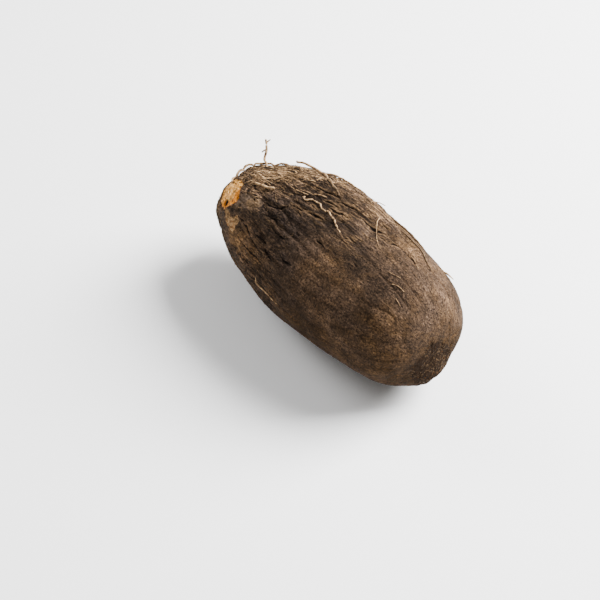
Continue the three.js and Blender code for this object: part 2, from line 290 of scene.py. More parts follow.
def cracks(q):
    """Depth 0 to 1 of the measured cracks, height of their lips, and the place across the nearest one, from
    -3 to 3 half widths. The half width is b sqrt(sin(pi s)) at a share s of the length, and the depth at a
    distance d from the line is one minus d over it."""
    ragged = 1 + 0.45 * noise(q, (2.2, 1.5, 1.5), 44)
    depth, lip, across = (np.full(q.shape[:-1], v) for v in (0.0, 0.0, 3.0))
    for half_width, *pairs in CRACKS:
        x, degrees = np.reshape(pairs, (-1, 2)).T
        line = unroll(along(x), np.radians(degrees))
        near = length_of(q - line.mean(0)) < np.ptp(line[:, 0]) / 2 + 8
        distance, share, side = beside_line(q[near], line)
        width = 1.1 * half_width * np.sqrt(np.sin(math.pi * np.clip(share, 0.02, 0.98))) * ragged[near]
        depth[near] = np.maximum(depth[near], 1 - distance / width)
        closer = distance / width < np.abs(across[near])
        across[near] = np.where(closer, side * distance / width, across[near])
        beside = np.exp(-((distance - 1.7 * width) / (0.8 * width)) ** 2)
        lip[near] = np.maximum(lip[near], beside * (width > 0.2))
    return np.maximum(depth, 0), lip, across


# %% [markdown]
# ## What kind of bark is where
# The head and a band along the top are torn, the rest of the head's half is
# cracked into scales, and the foot is smooth. The bare scar, pale flakes where
# the outer bark came off, and caked soil on the foot's lower end are outlines on
# the skin, and each point keeps its distance to the nearest one. The soil's dark
# colour is partly painted shade where the foot turns down.

# %% Regions and patches
def near_pole(p):
    """1 on the axis at either end, fading to 0 at 24 mm from it."""
    return smooth(24, 9, np.hypot(p[..., 1] - BEND_Y * BEND, p[..., 2] - BEND_Z * BEND))


def kinds(p):
    """Shares of torn, scaly and fine bark at points, each 0 to 1."""
    over = (0.47 * p[..., 1] + 0.88 * p[..., 2]) / np.maximum(np.hypot(p[..., 1], p[..., 2]), 1)
    band = smooth(0.42, 0.92, over) * smooth(82, 24, p[..., 0])
    head = smooth(-12, -58, p[..., 0]) * (0.35 + 0.65 * smooth(0, 0.75, over))
    tip = 0.8 * smooth(-72, -88, p[..., 0])
    torn = np.clip(np.maximum(np.maximum(band, head), tip), 0, 1)
    patchy = smooth(-0.5, 0.3, noise(p, (30, 20, 20), 48))
    scaly = smooth(26, -14, p[..., 0]) * patchy * (1 - 0.55 * band)
    pole = near_pole(p)
    return torn * (1 - 0.6 * pole), scaly, np.maximum(smooth(-12, 34, p[..., 0]), 0.8 * pole)


def inside_outline(p, corners):
    """Distance from an outline, positive inside, on the plane that fits its corners best. A point is inside
    if a ray from it meets the outline an odd number of times."""
    middle = corners.mean(0)
    _, _, axes = np.linalg.svd(corners - middle)
    near = length_of(p - middle) < length_of(corners - middle).max() + 6
    flat, points = (corners - middle) @ axes[:2].T, (p[near] - middle) @ axes[:2].T
    closest, inside = np.full(len(points), FAR), np.zeros(len(points), bool)
    for (ax, ay), (bx, by) in zip(flat, np.roll(flat, -1, axis=0)):
        way = np.array([bx - ax, by - ay])
        s = np.clip((points - (ax, ay)) @ way / (way @ way), 0, 1)
        closest = np.minimum(closest, length_of(points - (ax, ay) - s[:, None] * way))
        crosses = (ay > points[:, 1]) != (by > points[:, 1])
        with np.errstate(divide="ignore", invalid="ignore"):
            meets = ax + (points[:, 1] - ay) * (bx - ax) / (by - ay)
        inside ^= crosses & (points[:, 0] < meets)
    distance = np.full(p.shape[:-1], -9.0)
    distance[near] = np.where(inside, closest, -closest)
    return distance


def outlines(p, patches):
    """The largest of the distances inside several outlines, kept between -6 and 6 mm."""
    return np.clip(np.max([inside_outline(p, corners) for corners in patches], axis=0), -6, 6)


SCAR_ROWS = [
    (-71, 117), (-68, 120), (-66, 126), (-64, 130), (-61, 134), (-60, 138), (-63, 143), (-66, 148),
    (-69, 152), (-76, 154), (-80, 153), (-85, 147), (-88, 140), (-89, 131), (-88, 125), (-87, 121),
    (-78, 118),
]
SCAR = [places(SCAR_ROWS)]
SCAR_EDGE = places([(-64, 130), (-61, 136), (-62, 141), (-65, 147), (-69, 151), (-74, 152)])
# Deep pits in the scar; the near black laid into them is painted shade.
HOLES = [((-72, 147), 4.6, 3.2), ((-82, 124), 1.8, 1.5), ((-76, 138), 0.9, 0.8), ((-70, 133), 0.9, 0.7)]
LARGE_FLAKE = [
    (-60, 140), (-62, 137), (-62, 130), (-53, 124), (-46, 125), (-42, 130), (-44, 135), (-50, 138),
    (-57, 142),
]
FLAKES = [places(LARGE_FLAKE), places([(-46, 126), (-43, 121), (-38, 122), (-37, 127), (-41, 130)])]
WEDGE = [places([
    (-68, 151), (-64, 149), (-57, 151), (-53, 150), (-50, 146), (-47, 151), (-46, 158), (-47, 162),
    (-52, 161), (-59, 159),
])]
RINGS_OF_DARK = [((-63, 122), 2.6, True), ((-57, 122), 2.3, True)]
BLOTS = RINGS_OF_DARK + [((-62, 129), 1.3, False), ((-58, 146), 2.6, False), ((-54, 138), 2.2, False)]
# Caked soil on the foot's lower end; its dark colour is partly painted shade.
SOIL = [np.array([
    (118.0, -6, 10), (118, 4, 6), (118, 11, -2), (115, 18, -16), (115, 17, -27), (112, 8, -34),
    (112, -4, -36), (114, -14, -28), (116, -20, -13), (118, -16, 0), (118, -10, 5),
])]


def spot_depth(p, centre, half_along, half_across):
    """1 at a spot's centre and 0 from its edge on: one minus the distance in half sizes."""
    d = p - places([centre])[0]
    sideways = np.hypot(d[..., 1], d[..., 2])
    return np.maximum(0, 1 - np.hypot(d[..., 0] / half_along, sideways / half_across))


def blot(p, centre, half, ring):
    """A dark spot with a soft edge, or a dark ring round a paler middle: sin(pi h), h the spot's depth."""
    h = spot_depth(p, centre, half, half)
    return np.sin(math.pi * h) if ring else smooth(0, 0.5, h)


TONE_AND_SHADE_PATCHES = [
    # Place along, degrees, half length, half width, lighter or darker, warmer or cooler, share of straw
    (-2, 118, 26, 17, -0.4, -0.5, 0), (0, 84, 34, 16, -0.8, 0.1, 0), (16, 108, 12, 10, -0.3, 0.1, 0),
    (58, 112, 8, 7, -0.4, -0.4, 0), (37, 85, 9, 7, 0.9, -0.5, -1), (25, 57, 30, 9, 0.1, 0.3, 0.15),
    (43, 125, 22, 14, 0.05, 0.3, 0), (-25, 162, 26, 15, 0.6, 1, 0), (40, 182, 44, 16, -0.55, 0.5, 0),
    (-45, 165, 8, 6, 0.35, 1.3, 0), (66, 63, 13, 9, 0.45, 0.3, 0), (92, 66, 20, 16, 0.15, 0, 0),
    (110, 48, 16, 14, 0.4, 0.2, 0), (84, 138, 7, 7, -0.4, 0, 0), (74, 162, 18, 13, 0, 0.2, 0),
    (12, 148, 13, 11, 0, -0.7, 0), (-26, 127, 14, 9, -0.2, -0.3, 0), (12, 88, 15, 9, -0.35, 0, -0.3),
    (-10, 77, 15, 11, -0.5, 0, -0.3), (-63, 98, 17, 10, -0.75, 0.2, 0.6),
    (-50, 78, 18, 10, -0.75, 0.2, 0.6), (-50, 113, 11, 6, 0.45, 0.3, 0.2), (-58, 125, 8, 7, 0.6, 0.2, 0.2),
    (-25, 66, 20, 8, 0.1, 0.2, 0.4), (60, 60, 30, 12, 0.1, 0.3, 0.1), (108, 135, 22, 20, 0.4, 0.4, 0),
    # The three rows of the next line darken the foot towards its underside: painted shade.
    (104, 178, 14, 12, -0.45, 0.6, 0), (115, 270, 16, 26, -0.95, 1, 0), (118, 330, 8, 16, -0.3, 0.8, 0),
    (-82, 158, 8, 7, 0.5, 0.8, 0.5), (19, 101, 16, 13, -0.75, -0.3, -0.8),
    (-2, 83, 14, 9, -0.45, -0.3, -0.6), (50, 101, 14, 11, -0.6, -0.3, -0.3),
    (45, 68, 12, 9, -0.45, -0.3, -0.3), (84, 104, 13, 11, -0.5, -0.2, 0), (31, 144, 15, 14, 0.4, 0.3, 0),
    (62, 139, 16, 12, 0.3, 0.2, 0), (96, 145, 12, 12, 0.25, 0.1, 0), (111, 105, 10, 9, -0.3, -0.2, 0),
]


def tones(p):
    """The patches of tone added up, a few of them painted shade on the foot: three values times exp of minus
    the squared distance in half sizes.
    """
    total = np.zeros(p.shape[:-1] + (3,))
    for x, degrees, half_along, half_across, *values in TONE_AND_SHADE_PATCHES:
        d = p - places([(x, degrees)])[0]
        near = (d[..., 0] / half_along) ** 2 + (d[..., 1] ** 2 + d[..., 2] ** 2) / half_across**2
        total += np.exp(-near)[..., None] * np.array(values)
    return total


# %% The finished skin
LONG_SLIT_DEPTH, SHORT_SLIT_DEPTH, CRACK_DEPTH = 0.95, 0.4, 1.2
SCAR_DEPTH, PEEL_DEPTH, HOLE_DEPTH, BLOT_DEPTH, SOIL_HEIGHT = 0.6, 0.35, 1.5, 0.3, 0.3


def skin(t, a):
    """Finished points of the skin, outward directions, places on the unrolled bark, and the facts that the
    colours need. All depths and lips are added up along the outward direction."""
    p, n, q = body(t, a), outward(t, a), unroll(t, a)
    height, furrow = coarse_bark(p)
    torn, scaly, fine = kinds(p)
    pole = near_pole(p)
    scar, flake, wedge, soil = (outlines(p, patches) for patches in (SCAR, FLAKES, WEDGE, SOIL))
    bare = smooth(-0.8, 0.8, scar + 1.2 * noise(p, (5, 3, 3), 71))
    peeled = smooth(-0.6, 0.6, np.maximum(flake, wedge) + 0.8 * noise(p, (4, 3, 3), 72))
    holes = np.max([smooth(0, 0.35, spot_depth(p, *row)) for row in HOLES], axis=0)
    blots = np.max([blot(p, *row) for row in BLOTS], axis=0)
    crooked = wandered(q, 6, 1.1, 81)
    crack, crack_lip, across = cracks(wandered(q, 4, 0.7, 91))
    cover = 1 - 0.85 * bare
    whole_bark = (1 - pole) * (1 - 0.9 * bare)
    some = smooth(-0.25, 0.35, noise(q, (26, 11, 11), 46))
    long_share = np.maximum(smooth(0.15, 0.6, torn) * some, 0.45 * scaly * smooth(0, 0.5, some)) * whole_bark
    long_slit, long_lip = (v * long_share for v in slits(crooked, 17, 62, 0.66, 21))
    short_share = whole_bark * (0.1 + 0.9 * torn) * (0.35 + 0.65 * some)
    short_slit, short_lip = (v * short_share for v in slits(crooked, 7.5, 96, 0.42, 31))
    ragged = (1 - pole) * noise(wandered(q, 5, 1, 86), (8, 1.6, 1.6), 41)
    ragged = ragged + pole * noise(p, (3, 2.4, 2.4), 42)
    depth = LONG_SLIT_DEPTH * long_slit + SHORT_SLIT_DEPTH * short_slit + CRACK_DEPTH * crack * cover
    lips = (0.3 * long_lip + 0.14 * short_lip + 0.25 * crack_lip * (0.2 + 0.8 * torn)) * cover
    crumb = 0.5 + 1.4 * noise(p, 2.6, 74)
    height = height - depth + lips + (0.06 + 0.4 * torn) * ragged * cover
    height = height - SCAR_DEPTH * bare - PEEL_DEPTH * peeled + 0.35 * bare * noise(p, (3.5, 2, 2), 73)
    height = height - HOLE_DEPTH * holes + SOIL_HEIGHT * smooth(-0.5, 1, soil) * crumb - BLOT_DEPTH * blots
    made = p + n * height[..., None]
    made[..., 2] = np.maximum(made[..., 2], REST_CUT)
    open_gap = np.clip(long_slit + crack, 0, 1)
    tone, warmth, straw = np.moveaxis(tones(p), -1, 0)
    facts = dict(
        torn=torn, fine=fine, scar=scar, flake=flake, wedge=wedge, soil=soil,
        tone=tone, warmth=warmth, straw=straw, across=across, furrow=furrow * cover,
        beside=smooth(2.6, 1.4, np.abs(across)) * cover,
        scaly=scaly * whole_bark * (1 - peeled), hole=np.clip(holes + 0.8 * blots, 0, 1),
        split=np.clip(long_slit + 0.5 * crack * cover + 0.55 * short_slit, 0, 1),
        lip=np.clip(long_lip + 0.5 * short_lip + crack_lip * torn, 0, 1) * cover * (1 - open_gap),
        edge=smooth(7, 1, beside_line(p, SCAR_EDGE)[0]),
    )
    return made, n, q, facts


# %% [markdown]
# ## The skin as a mesh
# The grid is finer where more is going on. Each point keeps its facts as
# attributes, so that the material follows the same splits as the mesh.

# %% Grid to mesh
RINGS, ROUND, NEAR_TIP = 248, 400, 0.9


def shared_out(density, low, high, count):
    """Places from low to high, close together where density is large: equal shares of its running sum."""
    fine_steps = np.linspace(low, high, 4000)
    run = np.concatenate([[0], np.cumsum(density(fine_steps[1:]))])
    return np.interp(np.linspace(0, run[-1], count), run, fine_steps)


def grid_faces(rows, columns):
    """Quads of a grid that closes on itself round the columns."""
    i, j = np.meshgrid(np.arange(rows - 1), np.arange(columns), indexing="ij")
    k = (j + 1) % columns
    corners = [i * columns + j, (i + 1) * columns + j, (i + 1) * columns + k, i * columns + k]
    return np.stack(corners, -1).reshape(-1, 4)


def fan(centre, ring):
    """Triangles from a centre point to each step of a ring."""
    return np.stack([np.full(len(ring), centre), ring, np.roll(ring, -1)], -1)


def add(name, data):
    """A new object in the scene."""
    made = bpy.data.objects.new(name, data)
    bpy.context.scene.collection.objects.link(made)
    return made


def make_piece(name, points, faces, attributes):
    """A smooth mesh object in metres from points in millimetres, arrays of quads and triangles, and named
    values for each point."""
    mesh = bpy.data.meshes.new(name)
    corners = [face for group in faces for face in group.tolist()]
    mesh.from_pydata((points + MOVE) / 1000, [], corners, shade_flat=False)
    for key, values in attributes.items():
        vector = np.ndim(values) == 2
        made = mesh.attributes.new(key, "FLOAT_VECTOR" if vector else "FLOAT", "POINT")
        made.data.foreach_set("vector" if vector else "value", np.asarray(values, np.float32).ravel())
    print(name, "has", len(points), "points and", sum(len(f) * (f.shape[1] - 2) for f in faces), "triangles")
    return add(name, mesh)


def at_head(s):
    """More rings at the head and fewer at the foot."""
    return 1 + 0.5 * smooth(-10, -60, s) - 0.25 * smooth(60, 110, s)


def on_top(a):
    """Fewer points underneath, at three quarters of a turn."""
    return 1 - 0.5 * np.exp(-((a - 1.5 * math.pi) / 0.7) ** 2)


def with_ends(values):
    """The values of all rings in one list, then the means of the first and the last ring, for the tips."""
    return np.concatenate([values.reshape(-1, *values.shape[2:]), [values[0].mean(0), values[-1].mean(0)]])


ring_s = shared_out(at_head, LINE_LENGTH[0] + NEAR_TIP, LINE_LENGTH[-1] - NEAR_TIP, RINGS)
ring_a = shared_out(on_top, 0, 2 * math.pi, ROUND + 1)[:-1]
made, _, place, facts = skin(np.interp(ring_s, LINE_LENGTH, LINE_T)[:, None], ring_a[None, :])
total = RINGS * ROUND
faces = [
    grid_faces(RINGS, ROUND)[:, ::-1],
    fan(total, np.arange(ROUND))[:, ::-1],
    fan(total + 1, np.arange(total - ROUND, total)),
]
values = {"bark_place": place, **facts}
yam_skin = make_piece("yam_skin", with_ends(made), faces, {k: with_ends(v) for k, v in values.items()})

# %% Check that the faces point outwards
for where, number in (("middle", RINGS // 2 * ROUND), ("head end", -ROUND - 1), ("foot end", -1)):
    face = yam_skin.data.polygons[number]
    out = np.dot(np.array(face.center) - MOVE / 1000, face.normal) > 0
    print("a face at the", where, "points", "outwards" if out else "inwards")

# %% [markdown]
# ## Rootlets
# Wiry rootlets sit in the bark: a few that the solid model has too, and others
# that were too fine for it. A ring of points carried along a line needs only a
# few places on the skin, each with a lift and a radius.

# %% Tubes on the skin
ROOTLETS = [
    # Kink, knots, tone at each end, then rows of place along, degrees round, lift off the skin, radius
    (0.12, 0.12, (1, 0.9), [
        (-83, 124, -0.6, 0.7), (-88, 116, 0.8, 0.85), (-88, 106, 1.7, 0.9), (-88, 97, 2.2, 0.9),
        (-87, 88, 2, 0.85), (-84, 76, 1.4, 0.8), (-79, 68, 1.3, 0.8), (-73, 62, 1.1, 0.75),
        (-66, 62, 0.7, 0.7), (-61, 64, -0.1, 0.5),
    ]),
    (0.04, 0.1, (1.2, 0.2), [
        (-61, 55, 4.3, 0.8), (-57, 53, 3, 0.85), (-53, 52, 2, 0.9), (-46, 51, 0.9, 1), (-38, 54, 0.5, 1),
        (-29, 60, 0.4, 1), (-17, 67, 0.4, 0.9), (-8, 71, 0.2, 0.8), (0, 75, -0.2, 0.5),
    ]),
    (0.3, 0.15, (0.8, 0.7), [
        (-40, 52, 0, 0.6), (-31, 47, 0.8, 0.75), (-26, 46, 1.2, 0.7), (-18, 44, 0.7, 0.65),
        (-7, 42, 0.4, 0.55), (0, 44, -0.1, 0.45),
    ]),
    (0.85, 0.5, (1, 1.1), [
        (-18, 96, -0.2, 0.35), (-15, 98, 0.3, 0.42), (-11, 99, 0.5, 0.42), (-7, 95, 0.6, 0.45),
        (0, 95, 0.5, 0.5), (6, 96, 0.5, 0.55), (12, 96, 0.5, 0.55), (19, 98, 0.4, 0.5),
        (30, 103, -0.1, 0.35),
    ]),
    (0.1, 0.12, (0.8, 0.9), [
        (-12, 180, -0.2, 0.4), (-9, 183, 0.5, 0.55), (2, 182, 0.6, 0.45), (11, 183, 0.5, 0.4),
        (15, 184, -0.1, 0.3),
    ]),
    (0.2, 0.15, (0.6, 1.8), [
        (-61, 112, 0.2, 0.5), (-55, 111, 0.8, 0.8), (-48, 109, 0.9, 0.85), (-40, 107, 1.6, 1),
    ]),
]
THIN_ROOTLETS = [
    (0.12, 0.1, (1.3, 1.4), [
        (-73, 80, 0, 0.75), (-78, 72, 1.6, 0.8), (-81, 69, 4.5, 0.9), (-80, 67, 11, 0.95),
        (-80, 67, 18.3, 0.75),
    ]),
    (0.1, 0.1, (1.3, 1.4), [(-80, 67, 11.4, 0.5), (-81, 69, 10.6, 0.6), (-82, 70, 9.6, 0.5)]),
    (0.1, 0.1, (1.3, 1.4), [(-80, 67, 15.8, 0.5), (-79, 66, 17.2, 0.5), (-78, 65, 18.2, 0.35)]),
    (0.2, 0.1, (1.2, 1), [
        (-91, 116, 0, 0.45), (-92, 127, 0.3, 0.5), (-90, 139, 0.4, 0.5), (-84, 150, 0.1, 0.35),
    ]),
    (0.2, 0.1, (1, 0.5), [
        (32, 64, 0, 0.22), (36, 71, 0.4, 0.26), (44, 79, 0.3, 0.2), (53, 87, 0.3, 0.2), (58, 89, 0.3, 0.18),
        (63, 90, -0.1, 0.15),
    ]),
    (0.2, 0.1, (0.9, 0.9), [(10, 52, -0.1, 0.35), (12, 50, 1, 0.34), (15, 41, 2.2, 0.26)]),
    (0.1, 0.1, (0.7, 0.7), [(72, 69, 0, 0.18), (76, 69, 0.2, 0.2), (81, 71, 0.2, 0.2), (84, 74, 0, 0.15)]),
    (0.1, 0.1, (0.8, 0.8), [(85, 105, 0, 0.18), (89, 102, 0.2, 0.2), (94, 101, 0, 0.15)]),
    (0.1, 0.1, (0.8, 0.8), [(94, 111, 0, 0.15), (97, 112, 0.2, 0.18), (99, 113, 0, 0.15)]),
    (0.1, 0.1, (0.7, 0.7), [(76, 100, 0, 0.15), (80, 98, 0.2, 0.18), (85, 95, 0, 0.15)]),
    (0.3, 0.2, (1.1, 1.1), [(-13, 89, 0, 0.34), (-9, 86, 0.6, 0.4), (-4, 84, 0.5, 0.34)]),
    (0.3, 0.2, (0.8, 0.8), [(-32, 78, 0, 0.4), (-27, 79, 0.5, 0.45), (-24, 77, 0.2, 0.4)]),
    (0.2, 0.1, (1.1, 1.1), [(-25, 75, 0, 0.45), (-24, 71, 1.5, 0.38)]),
    (0.3, 0.2, (0.8, 1.1), [(-21, 66, 0.2, 0.5), (-16, 67, 0.8, 0.5), (-16, 62, 1.4, 0.34)]),
    (0.2, 0.1, (1, 1), [(-15, 59, 0, 0.4), (-12, 56, 1.8, 0.3)]),
    (0.1, 0.1, (0.9, 0.9), [(80, 33, -0.2, 0.5), (84, 29, 0.8, 0.55), (87, 26, 1.6, 0.3)]),
]
STRAY_ROOTLETS, STRAY_SEED = 11, 91
ROOTLET_SIDES = 9


def stray_rootlets():
    """Rows for rootlets on the far side, from the same seeded rule as in the solid model."""
    lines = []
    for k in range(STRAY_ROOTLETS):
        pick = [float(cell(k, m, 0, STRAY_SEED)) for m in range(5)]
        towards = -1 if pick[0] < 0.5 else 1
        x, degrees = -62 + 130 * pick[1], -26 + 84 * (k + 0.8 * pick[2]) / STRAY_ROOTLETS
        thickness, count = 0.6 + 0.35 * pick[3], 3 + int(3 * pick[4])
        rows = []
        for s in range(count + 1):
            end = s in (0, count)
            taper = 0.6 if end else 1 - 0.35 * s / count
            rows.append((x, degrees, -0.3 if end else 0.35, thickness * taper))
            x += towards * (7 + 5 * float(cell(k, s, 1, STRAY_SEED)))
            degrees += 11 * (float(cell(k, s, 2, STRAY_SEED)) - 0.5)
        lines.append((0.3, 0.15, (0.32, 0.32), rows))
    return lines


def curve(rows, parts):
    """A smooth line through rows: between two rows, a cubic blend of the four rows round them."""
    rows = np.asarray(rows, float)
    i = np.repeat(np.arange(len(rows) - 1), parts)
    f = np.tile(np.arange(parts) / parts, len(rows) - 1)[:, None]
    weights = (-f + 2 * f**2 - f**3, 2 - 5 * f**2 + 3 * f**3, f + 4 * f**2 - 3 * f**3, -(f**2) + f**3)
    blend = sum(w / 2 * rows[np.clip(i + k - 1, 0, len(rows) - 1)] for k, w in enumerate(weights))
    return np.concatenate([blend, rows[-1:]])


def rings_round(line, up, radius, sides, flat):
    """The direction of a line and a ring of points across it at each place: radius times cos and sin of the
    angle, with the height made flatter."""
    way = unit(np.gradient(line, axis=-2))
    up = unit(up - way * (up * way).sum(-1, keepdims=True))
    angle = (np.arange(sides) * 2 * math.pi / sides)[:, None]
    wide, high = np.cross(way, up)[..., None, :] * np.cos(angle), up[..., None, :] * np.sin(angle) * flat
    return way, line[..., None, :] + (wide + high) * radius[..., None, None]


def tube(line, up, radius, sides):
    """Points and faces of a closed round tube along a line, with a point beyond each end."""
    way, rings = rings_round(line, up, radius, sides, 1)
    ends = [line[0] - way[0] * radius[0], line[-1] + way[-1] * radius[-1]]
    points = np.concatenate([rings.reshape(-1, 3), ends])
    n = len(line) * sides
    caps = np.concatenate([fan(n, np.arange(sides)), fan(n + 1, np.arange(n - sides, n)[::-1])])
    return points, grid_faces(len(line), sides), caps


def on_bark(rows, parts):
    """Places, outward directions and radii of a rootlet: its smoothed rows, lifted from the bark."""
    x, degrees, lift, radius = curve(rows, parts).T
    t, a = along(x), np.radians(degrees)
    p, normal = body(t, a), outward(t, a)
    return p + normal * (coarse_bark(p)[0] + lift + 0.2)[:, None], normal, radius


def gather(tubes):
    """Several tubes as one set of points and faces: indices move up by the points before them."""
    start, parts = 0, []
    for (points, quads, caps), shades in tubes:
        parts.append((points, quads + start, caps + start, np.linspace(*shades, len(points))))
        start += len(points)
    points, quads, caps, tone = map(np.concatenate, zip(*parts))
    return points, [quads, caps], {"tone": tone}


tubes = []
for number, (kink, knots, shades, rows) in enumerate(ROOTLETS + THIN_ROOTLETS + stray_rootlets()):
    line, up, radius = on_bark(rows, 10)
    large = [noise(line + 7 * number, 2.6, 61 + n) for n in range(3)]
    small = [noise(line, 1.3, 64 + n) for n in range(3)]
    radius = radius * (1 + knots * noise(line, 1.8, 66))
    line = line + kink * np.stack([a + 0.5 * b for a, b in zip(large, small)], -1)
    tubes.append((tube(line, up, radius, ROOTLET_SIDES), shades))
rootlets = make_piece("rootlets", *gather(tubes))

# %% [markdown]
# ## Torn fibres
# Torn bark frays, and short dry fibres lie on all of it. Hair isn't a mesh that
# others can use, and thousands of bent tubes with three sides look the same. A
# seeded generator places them, by the measure of torn bark that deepens splits.

# %% Where fibres grow
random = np.random.default_rng(20)
FIBRE_STEPS, FIBRE_SIDES, TRIES_A_FIBRE, UNDERSIDE_Z = 4, 3, 14, -38
NEAR_END = 0.06
SKIN_PER_T = np.hypot(np.gradient(LINE_X, LINE_T), np.gradient(LINE_R, LINE_T))


def grow(t, a, heading, bow, length, radius, rise):
    """Centre lines, outward directions and radii of fibres. Each sets out from t, a at its heading, turns by
    its bow and rises. A step in t or a is the step in mm over the mm in one unit of it."""
    share = np.linspace(0, 1, FIBRE_STEPS)[None]
    bearing = heading[:, None] + bow[:, None] * share
    step = length[:, None] / (FIBRE_STEPS - 1) * (share > 0)
    step_t = np.cumsum(np.cos(bearing) * step, axis=1) / np.interp(t, LINE_T, SKIN_PER_T)[:, None]
    step_a = np.cumsum(np.sin(bearing) * step, axis=1) / np.maximum(profile(t)[1], 8)[:, None]
    lines, up, _, _ = skin(np.clip(t[:, None] + step_t, NEAR_END, math.pi - NEAR_END), a[:, None] + step_a)
    lift = 0.1 + rise[:, None] * share**1.7 - 0.2 * (share == 0)
    return lines + up * lift[..., None], up, radius[:, None] * (1 - 0.65 * share**2)


def bald(p):
    """True for points inside the scar or a flake, or near the dark rings, where no fibre lies."""
    near_rings = 5 - length_of(p - places([(-60, 122)])[0])
    return np.maximum(outlines(p, SCAR + FLAKES), near_rings) > 0.5


def start_places(count, low, high, weight):
    """Starts drawn evenly and kept with a chance that the weight gives, none on the scar or underneath, and
    the share of fine bark at each."""
    tries = TRIES_A_FIBRE * count
    t, a = along(random.uniform(low, high, tries)), random.uniform(0, 2 * math.pi, tries)
    p = body(t, a)
    keep = (random.uniform(0, 1, tries) < weight(p)) & ~bald(p) & (p[:, 2] > UNDERSIDE_Z)
    keep = np.flatnonzero(keep)[:count]
    return t[keep], a[keep], kinds(p[keep])[2]


def rim_places(count):
    """Starts drawn evenly along the outline of the scar, and the share of fine bark at each."""
    share = random.uniform(0, len(SCAR_ROWS), count)
    rows = np.array(SCAR_ROWS + SCAR_ROWS[:1], float)
    x, degrees = (np.interp(share, np.arange(len(rows)), column) for column in rows.T)
    t, a = along(x), np.radians(degrees)
    return t, a, kinds(body(t, a))[2]


def fibre_set(starts, spread, bow, longest, thickest, lifted, tone, turn=0, flat=1):
    """Lines, directions, radii, tones and flatness of fibres. They lie along the yam, but for a turn and a
    spread, and any way and shorter on fine bark. The patches of tone shade them too."""
    t, a, fine = starts
    count, draw = len(t), random.uniform
    heading = random.normal(turn, spread, count) + draw(-2.2, 2.2, count) * fine
    heading = heading + math.pi * (draw(0, 1, count) < 0.5)
    length = longest * draw(0.25, 1, count) ** 1.4 * (1 - 0.45 * fine)
    rise = draw(0.0, 1.0, count) * np.where(draw(0, 1, count) < lifted * (1 - 0.8 * fine), 1.6, 0.2)
    thickness = thickest * draw(0.45, 1, count) * (1 - 0.3 * fine)
    lines, up, radius = grow(t, a, heading, random.normal(0, bow, count), length, thickness, rise)
    clear = ~bald(lines[:, -1]) & ~bald(lines[:, 1])
    shade = draw(*tone, count) * np.clip(1 + 0.6 * tones(lines[:, 1])[:, [0, 2]].sum(axis=1), 0.3, 1.5)
    return lines[clear], up[clear], radius[clear], shade[clear], np.full(clear.sum(), float(flat))


def anywhere(p):
    """More starts on top, and fewer on fine bark."""
    return (0.5 + 0.3 * smooth(-20, 30, p[:, 2])) * (1 - 0.6 * kinds(p)[2])


def where_torn(p):
    """Hardly any starts but on torn bark."""
    return 0.02 + 0.98 * kinds(p)[0] ** 1.5


def torn_above(low, high):
    """Starts only on the most torn bark, from one height up to another, where none is left out."""
    return lambda p: kinds(p)[0] ** 3 * smooth(low, high, p[:, 2])


# %% Fibres as one mesh
sets = [
    # Spread, bow, longest, thickest, share that lifts off, darkest and palest tone, turn, flatness
    fibre_set(start_places(3800, -98, 114, anywhere), 0.6, 0.6, 4.4, 0.15, 0.1, (0.08, 0.5)),
    fibre_set(start_places(1900, -98, 80, where_torn), 0.24, 0.3, 10, 0.24, 0.25, (0.05, 0.6)),
    fibre_set(start_places(240, -96, -24, torn_above(12, 34)), 0.3, 0.4, 15, 0.32, 0.35, (0.3, 1.3), -0.35),
    fibre_set(start_places(120, -94, -52, torn_above(31, 42)),
              0.25, 0.3, 18, 0.95, 0.2, (0.3, 1.6), -0.45, 0.3),
    fibre_set(start_places(150, -100, -76, lambda p: 1), 1, 0.8, 5, 0.22, 0.4, (0.2, 1)),
    fibre_set(rim_places(110), 1.2, 0.8, 5.5, 0.26, 0.6, (0.6, 1.3)),
]
lines, fibre_up, thin, fibre_tone, flat = map(np.concatenate, zip(*sets))
_, rings = rings_round(lines, fibre_up, thin, FIBRE_SIDES, flat[:, None, None, None])
per = FIBRE_STEPS * FIBRE_SIDES
first = (np.arange(len(lines)) * per)[:, None, None]
quads = (grid_faces(FIBRE_STEPS, FIBRE_SIDES) + first).reshape(-1, 4)
caps = (np.array([[0, 1, 2], [per - 1, per - 2, per - 3]]) + first).reshape(-1, 3)
fibres = make_piece("fibres", rings.reshape(-1, 3), [quads, caps], {"tone": np.repeat(fibre_tone, per)})


# %% [markdown]
# ## Shader maths in Python
# Most nodes of a material only add or multiply. A small class wraps a socket, so
# that such sums are written as sums. Colours are blended by a Mix node, because
# a Math node would turn them grey.

# %% The socket wrapper
class Value:
    """A node's output. Arithmetic on it adds Math nodes."""

    def __init__(self, shader, socket):
        self.shader, self.socket = shader, socket

    def math(self, operation, first, second):
        """A Math node on two values."""
        return self.shader.node("ShaderNodeMath", {"operation": operation}, {0: first, 1: second})

    def __add__(self, other):
        return self.math("ADD", self, other)

    def __mul__(self, other):
        return self.math("MULTIPLY", self, other)

    def __sub__(self, other):
        return self.math("SUBTRACT", self, other)

    def __rsub__(self, other):
        return self.math("SUBTRACT", other, self)

    __radd__, __rmul__ = __add__, __mul__

    def size(self):
        """This without its sign."""
        return self.math("ABSOLUTE", self, 0)

    def step(self, low, high):
        """A soft step from 0 where this is low to 1 where it is high."""
        inputs = {"Value": self, "From Min": low, "From Max": high}
        return self.shader.node("ShaderNodeMapRange", {"interpolation_type": "SMOOTHSTEP"}, inputs)


